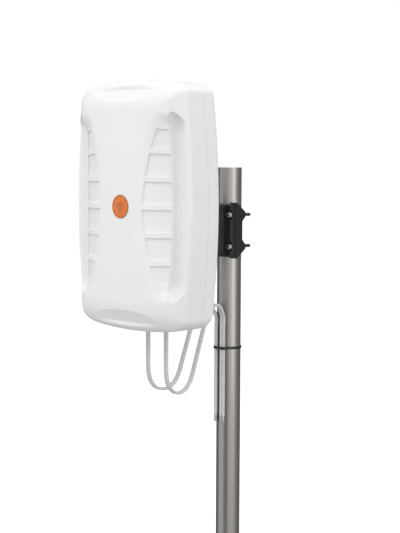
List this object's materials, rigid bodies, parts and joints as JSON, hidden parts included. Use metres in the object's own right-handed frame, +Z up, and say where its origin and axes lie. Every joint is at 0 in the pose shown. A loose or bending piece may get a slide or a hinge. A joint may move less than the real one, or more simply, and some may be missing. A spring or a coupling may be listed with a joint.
{
  "type": "mast-mounted directional panel antenna",
  "caption": "Directional panel antenna: a rounded two-part radome with recessed wings over crossed log-periodic boards, on a tilting bracket and split mast clamp, with twin coaxial cables.",
  "frame": {"origin": "on the mast's axis at the mast's foot", "axes": "+Z up along the mast, -Y the way the antenna faces, +X to the right of someone who stands in front of it and looks along +Y"},
  "size_m": [0.286, 0.3018, 0.9482],
  "materials": {
    "mast_steel": "brushed along its length",
    "jaw_plastic": "fine moulded grain",
    "zinc_steel": "bright zinc plate",
    "insert_brass": "turned",
    "bracket_coat": "black powder coat",
    "cover_plastic": "satin white, weatherproof",
    "seal_rubber": "soft",
    "badge_print": "glossy disc in a thin ring",
    "vent_plastic": "moulded",
    "plate_aluminium": "mill finish",
    "board_laminate": "solder mask",
    "copper_foil": "plated copper",
    "base_plastic": "moulded",
    "lead_jacket": "smooth jacket",
    "gland_rubber": "soft moulded",
    "cable_jacket": "smooth light grey jacket",
    "connector_nickel": "nickel plate",
    "tie_nylon": "nylon"
  },
  "bodies": {
    "mast": {"mast_tube": "mast_steel"},
    "clamp": {"clamp_front_jaw": "jaw_plastic", "clamp_rear_jaw": "jaw_plastic", "clamp_bolts": "zinc_steel", "clamp_washers": "zinc_steel", "clamp_inserts": "insert_brass", "tilt_pivot_bolt": "zinc_steel", "tilt_lock_bolt": "zinc_steel", "tilt_washers": "zinc_steel", "tilt_nuts": "zinc_steel", "twin_cable_left": "cable_jacket", "twin_cable_right": "cable_jacket", "connector_tails": "cable_jacket", "coax_connectors": "connector_nickel", "cable_tie": "tie_nylon"},
    "antenna": {"tilt_bracket": "bracket_coat", "bracket_screws": "zinc_steel", "bracket_inserts": "insert_brass", "rear_cover": "cover_plastic", "front_cover": "cover_plastic", "cover_seal": "seal_rubber", "cover_screws": "zinc_steel", "badge": "badge_print", "vent_plug": "vent_plastic", "reflector_plate": "plate_aluminium", "reflector_screws": "zinc_steel", "upper_board_plus": "board_laminate", "upper_board_minus": "board_laminate", "lower_board_plus": "board_laminate", "lower_board_minus": "board_laminate", "upper_elements": "copper_foil", "lower_elements": "copper_foil", "board_bases": "base_plastic", "base_screws": "zinc_steel", "feed_lead_1": "lead_jacket", "feed_lead_2": "lead_jacket", "feed_lead_3": "lead_jacket", "feed_lead_4": "lead_jacket", "cable_gland_left": "gland_rubber", "cable_gland_right": "gland_rubber", "cable_exit_left": "cable_jacket", "cable_exit_right": "cable_jacket"}
  },
  "joints": [
    {"name": "azimuth", "type": "hinge", "parent": "mast", "child": "clamp", "pos_m": [0, 0, 0.684], "axis": [0, 0, 1], "continuous": true},
    {"name": "tilt", "type": "hinge", "parent": "clamp", "child": "antenna", "pos_m": [0, -0.12, 0.684], "axis": [1, 0, 0], "range_deg": [-20, 20]}
  ]
}
